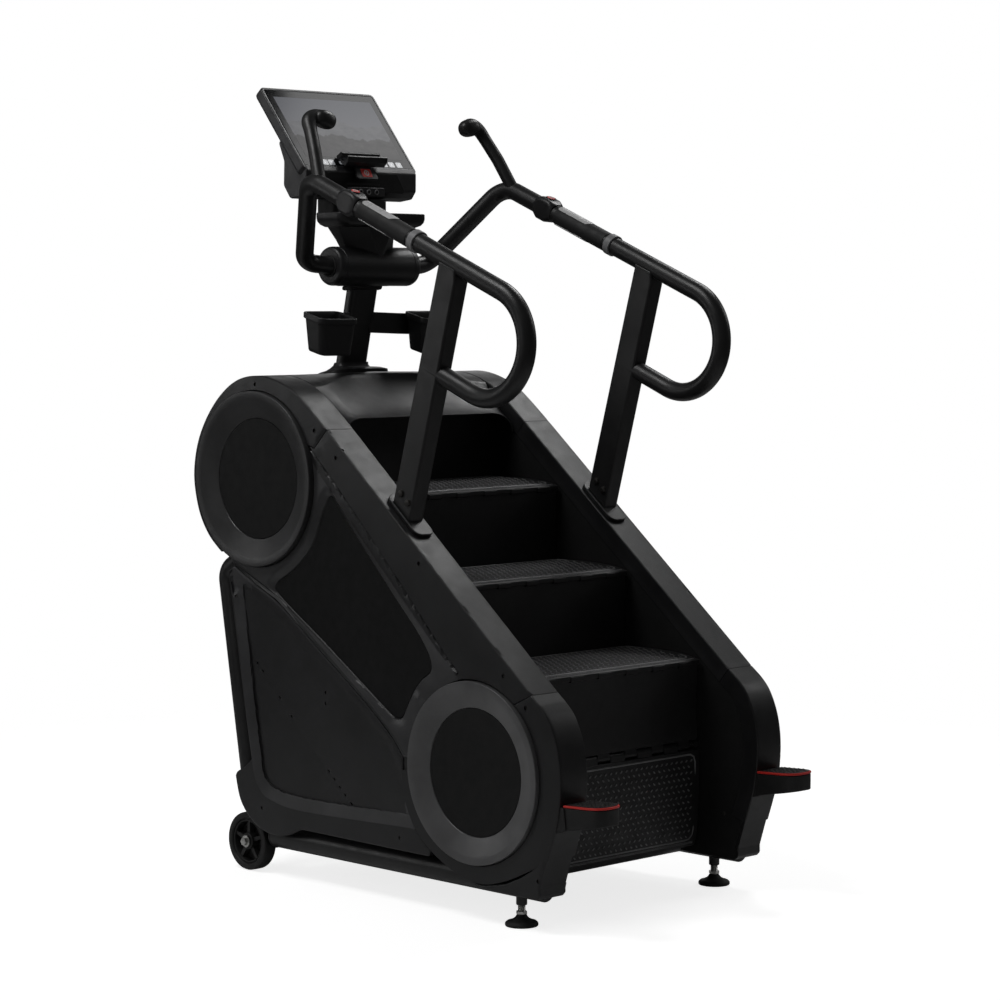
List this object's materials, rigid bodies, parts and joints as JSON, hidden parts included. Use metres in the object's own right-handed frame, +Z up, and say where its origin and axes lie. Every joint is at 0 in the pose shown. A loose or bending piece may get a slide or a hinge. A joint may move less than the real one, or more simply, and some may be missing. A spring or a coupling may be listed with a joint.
{
  "type": "stair climber",
  "caption": "Revolving-staircase exercise machine with side housings, looped handrails and a console on a mast.",
  "frame": {"origin": "floor level, middle of the overall length and width", "axes": "+X to the climber's right, +Y the way the climber faces, towards the console, +Z up"},
  "size_m": [0.802, 1.418, 1.992],
  "materials": {
    "cover_black": "satin moulded, fine grain",
    "disc_black": "satin moulded, fine grain",
    "inset_black": "matt leather grain",
    "frame_black": "fine textured powder coat",
    "plate_black": "matt powder coat",
    "chain_steel": "oiled steel",
    "shaft_steel": "turned",
    "pulley_aluminium": "cast and turned",
    "belt_rubber": "ribbed",
    "alternator_casting": "cast",
    "step_black": "satin, moulded ribs",
    "foot_rubber": "moulded",
    "wheel_black": "moulded",
    "zinc_bolt": "zinc plated",
    "platform_rubber": "moulded with a ribbed top",
    "screen_glass": "gloss",
    "stop_red": "satin"
  },
  "bodies": {
    "machine": {"alternator": "alternator_casting", "base_frame": "frame_black", "centre_panel_left": "inset_black", "centre_panel_right": "inset_black", "console_hub": "cover_black", "console_neck": "cover_black", "control_pod_left": "cover_black", "control_pod_right": "cover_black", "cup_holder_left": "cover_black", "cup_holder_right": "cover_black", "display_housing": "cover_black", "display_screen": "screen_glass", "drive_belt": "belt_rubber", "foot_platform_left": "platform_rubber", "foot_platform_right": "platform_rubber", "front_cap_left": "cover_black", "front_cap_right": "cover_black", "handrail_left": "frame_black", "handrail_post_left": "frame_black", "handrail_post_right": "frame_black", "handrail_right": "frame_black", "lower_disc_cover_left": "disc_black", "lower_disc_cover_right": "disc_black", "mast": "frame_black", "rail_cover_left": "cover_black", "rail_cover_right": "cover_black", "rear_cover": "cover_black", "rear_side_panel_left": "cover_black", "rear_side_panel_right": "cover_black", "side_plate_left": "plate_black", "side_plate_right": "plate_black", "step_chain_left": "chain_steel", "step_chain_right": "chain_steel", "tablet_ledge": "cover_black", "top_shroud": "cover_black", "upper_cap_left": "cover_black", "upper_cap_right": "cover_black", "upper_disc_cover_left": "disc_black", "upper_disc_cover_right": "disc_black", "wheel_axle_left": "zinc_bolt", "wheel_axle_right": "zinc_bolt"},
    "stair_flight": {"tread_1": "step_black", "tread_2": "step_black", "tread_3": "step_black", "riser_1": "step_black", "riser_2": "step_black", "riser_3": "step_black", "riser_4": "step_black"},
    "hanging_step": {"tread_0": "step_black"},
    "upper_drive": {"upper_shaft": "shaft_steel", "drive_pulley": "pulley_aluminium"},
    "lower_drive": {"lower_shaft": "shaft_steel"},
    "alternator_rotor": {"alternator_pulley": "shaft_steel"},
    "wheel_left": {"transport_wheel_left": "wheel_black"},
    "wheel_right": {"transport_wheel_right": "wheel_black"},
    "foot_left": {"levelling_foot_left": "foot_rubber"},
    "foot_right": {"levelling_foot_right": "foot_rubber"},
    "stop_key": {"stop_tab": "stop_red"},
    "button_left": {"pod_button_left": "stop_red"},
    "button_right": {"pod_button_right": "stop_red"}
  },
  "joints": [
    {"name": "stair_travel", "type": "slide", "parent": "machine", "child": "stair_flight", "axis": [0, 0.7664, 0.6424], "range_m": [-0.05, 0.1]},
    {"name": "hanging_step_hinge", "type": "hinge", "parent": "stair_flight", "child": "hanging_step", "pos_m": [0, -0.4081, 0.355], "axis": [1, 0, 0], "range_deg": [-30, 16]},
    {"name": "upper_shaft_turn", "type": "hinge", "parent": "machine", "child": "upper_drive", "pos_m": [0, 0.463, 1], "axis": [1, 0, 0], "range_deg": [-46, 24]},
    {"name": "lower_shaft_turn", "type": "hinge", "parent": "machine", "child": "lower_drive", "pos_m": [0, -0.3215, 0.35], "axis": [1, 0, 0], "range_deg": [-46, 24]},
    {"name": "alternator_turn", "type": "hinge", "parent": "machine", "child": "alternator_rotor", "pos_m": [0.339, 0.348, 0.33], "axis": [1, 0, 0], "range_deg": [-132, 68]},
    {"name": "wheel_left_spin", "type": "hinge", "parent": "machine", "child": "wheel_left", "pos_m": [-0.353, 0.525, 0.074], "axis": [1, 0, 0], "continuous": true},
    {"name": "wheel_right_spin", "type": "hinge", "parent": "machine", "child": "wheel_right", "pos_m": [0.353, 0.525, 0.074], "axis": [1, 0, 0], "continuous": true},
    {"name": "foot_left_height", "type": "slide", "parent": "machine", "child": "foot_left", "axis": [0, 0, 1], "range_m": [-0.012, 0.012]},
    {"name": "foot_right_height", "type": "slide", "parent": "machine", "child": "foot_right", "axis": [0, 0, 1], "range_m": [-0.012, 0.012]},
    {"name": "stop_key_press", "type": "slide", "parent": "machine", "child": "stop_key", "axis": [0, 0.7746, -0.6325], "range_m": [0, 0.003]},
    {"name": "button_left_press", "type": "slide", "parent": "machine", "child": "button_left", "axis": [0, 0.3811, -0.9245], "range_m": [0, 0.0015]},
    {"name": "button_right_press", "type": "slide", "parent": "machine", "child": "button_right", "axis": [0, 0.3811, -0.9245], "range_m": [0, 0.0015]}
  ],
  "couplings": [
    {"joint": "hanging_step_hinge", "follows": "stair_travel", "rad_per_m": -4.966},
    {"joint": "upper_shaft_turn", "follows": "stair_travel", "rad_per_m": -7.77},
    {"joint": "lower_shaft_turn", "follows": "stair_travel", "rad_per_m": -7.77},
    {"joint": "alternator_turn", "follows": "stair_travel", "rad_per_m": -22.4}
  ]
}
